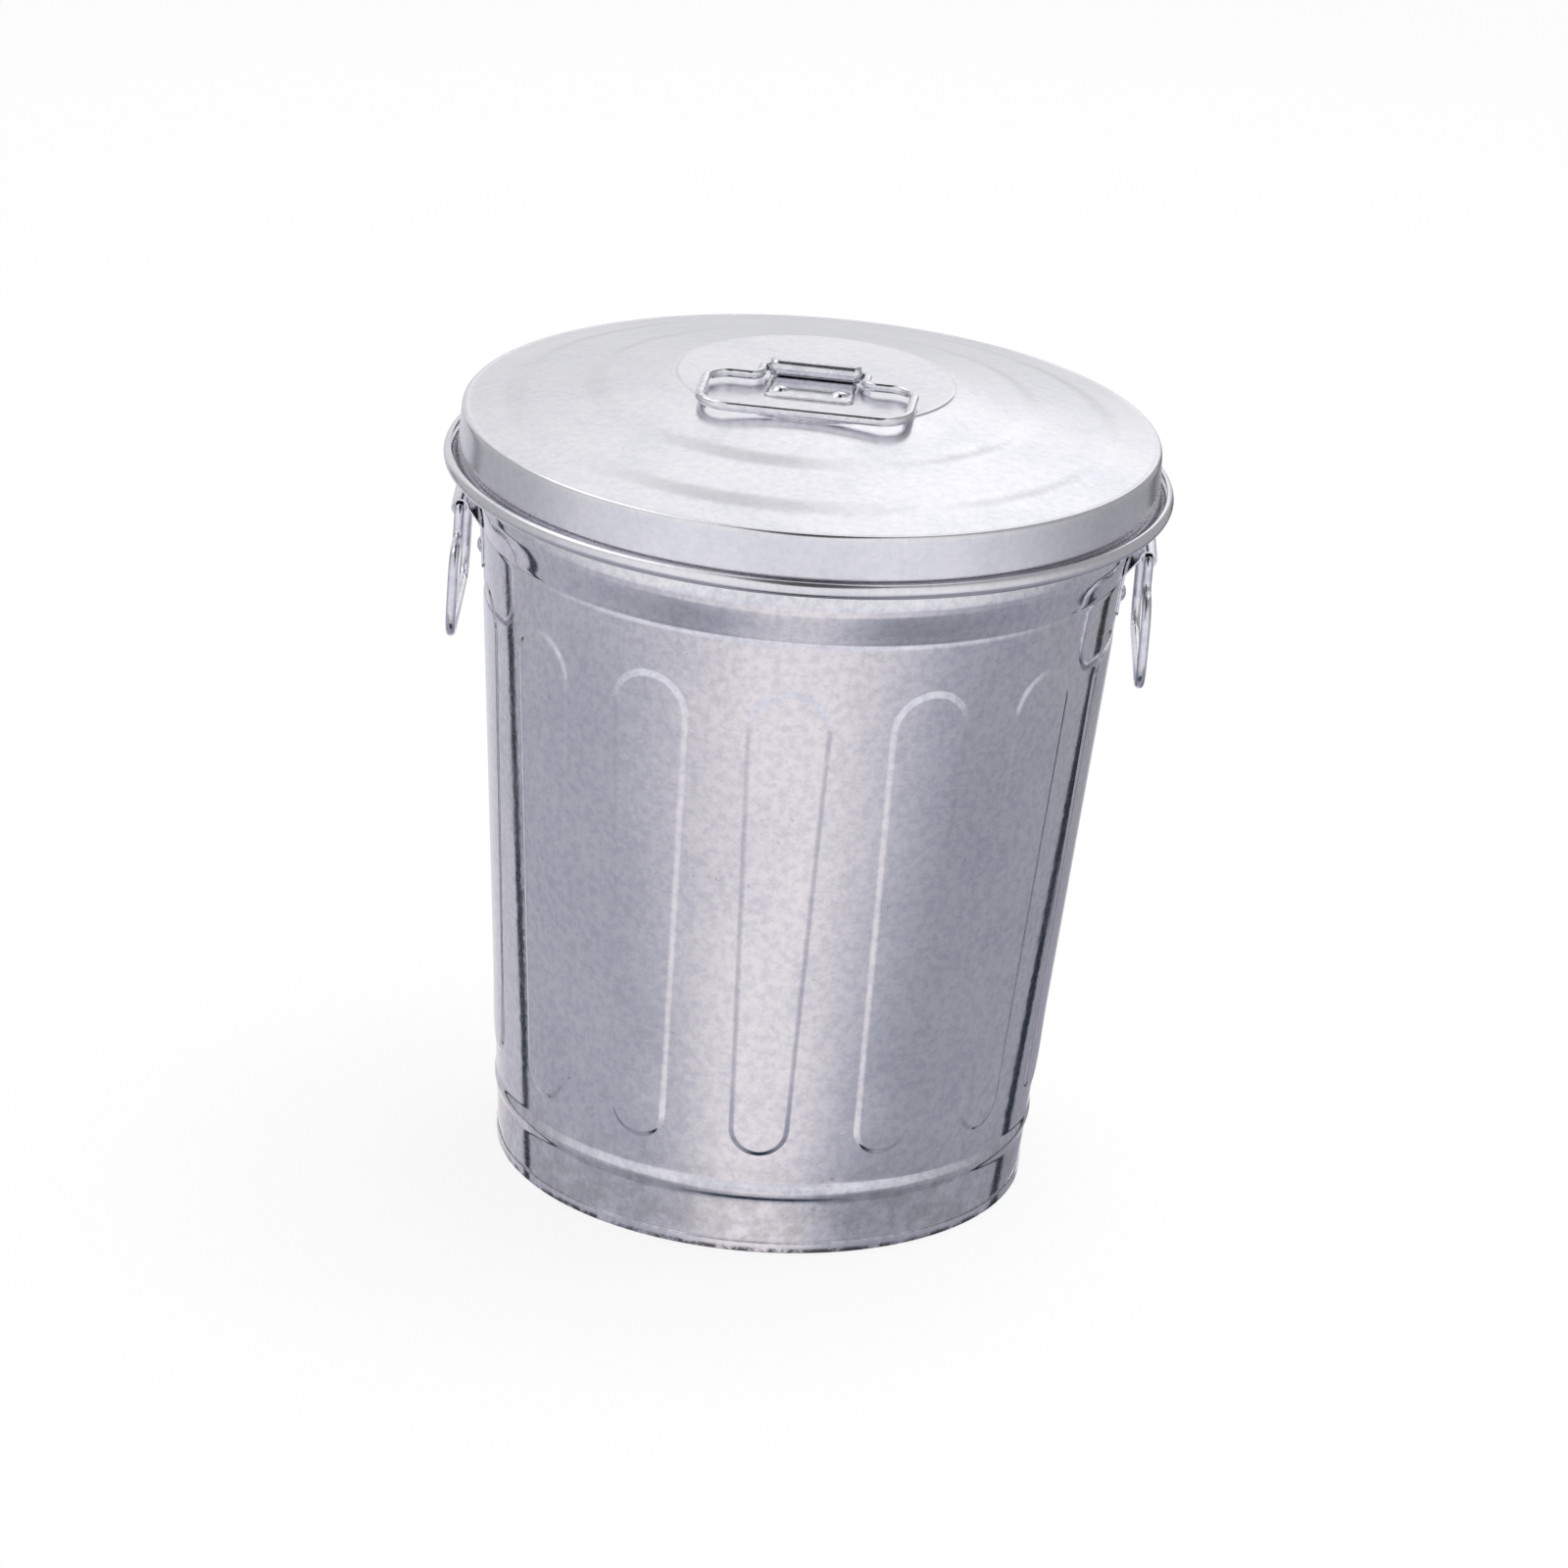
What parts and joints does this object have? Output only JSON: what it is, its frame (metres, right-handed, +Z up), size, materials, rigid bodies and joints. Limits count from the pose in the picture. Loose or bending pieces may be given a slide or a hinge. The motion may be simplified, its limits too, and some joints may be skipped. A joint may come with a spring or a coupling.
{
  "type": "trash can",
  "caption": "Round tapered galvanized steel trash can with raised flutes, a domed lift-off lid and drop wire handles.",
  "frame": {"origin": "centre of the base, on the surface that the can stands on", "axes": "+Z up along the can's axis, -Y the front with the lid's bail lying towards it, +X through the right handle"},
  "size_m": [0.33, 0.33, 0.3843],
  "materials": {
    "zinc_sheet": "hot-dip galvanized with a fine spangle",
    "zinc_wire": "bright galvanized wire",
    "zinc_rivet": "plain zinc"
  },
  "bodies": {
    "can": {"body_shell": "zinc_sheet", "rim_wire": "zinc_wire", "base_pan": "zinc_sheet", "right_ear": "zinc_sheet", "left_ear": "zinc_sheet", "right_ear_rivets": "zinc_rivet", "left_ear_rivets": "zinc_rivet"},
    "lid": {"lid_pan": "zinc_sheet", "lid_bracket": "zinc_sheet", "lid_bracket_rivets": "zinc_rivet"},
    "lid_handle": {"lid_bail": "zinc_wire"},
    "right_handle": {"right_bail": "zinc_wire"},
    "left_handle": {"left_bail": "zinc_wire"}
  },
  "joints": [
    {"name": "lid_lift", "type": "slide", "parent": "can", "child": "lid", "axis": [0, 0, 1], "range_m": [0, 0.16]},
    {"name": "lid_handle_swing", "type": "hinge", "parent": "lid", "child": "lid_handle", "pos_m": [-0.00028, -0.00319, 0.38033], "axis": [-0.9962, 0.0872, 0], "range_deg": [0, 178]},
    {"name": "right_handle_swing", "type": "hinge", "parent": "can", "child": "right_handle", "pos_m": [0.1553, 0, 0.309], "axis": [0, -1, 0], "range_deg": [-8, 145]},
    {"name": "left_handle_swing", "type": "hinge", "parent": "can", "child": "left_handle", "pos_m": [-0.1553, 0, 0.309], "axis": [0, 1, 0], "range_deg": [-8, 145]}
  ]
}
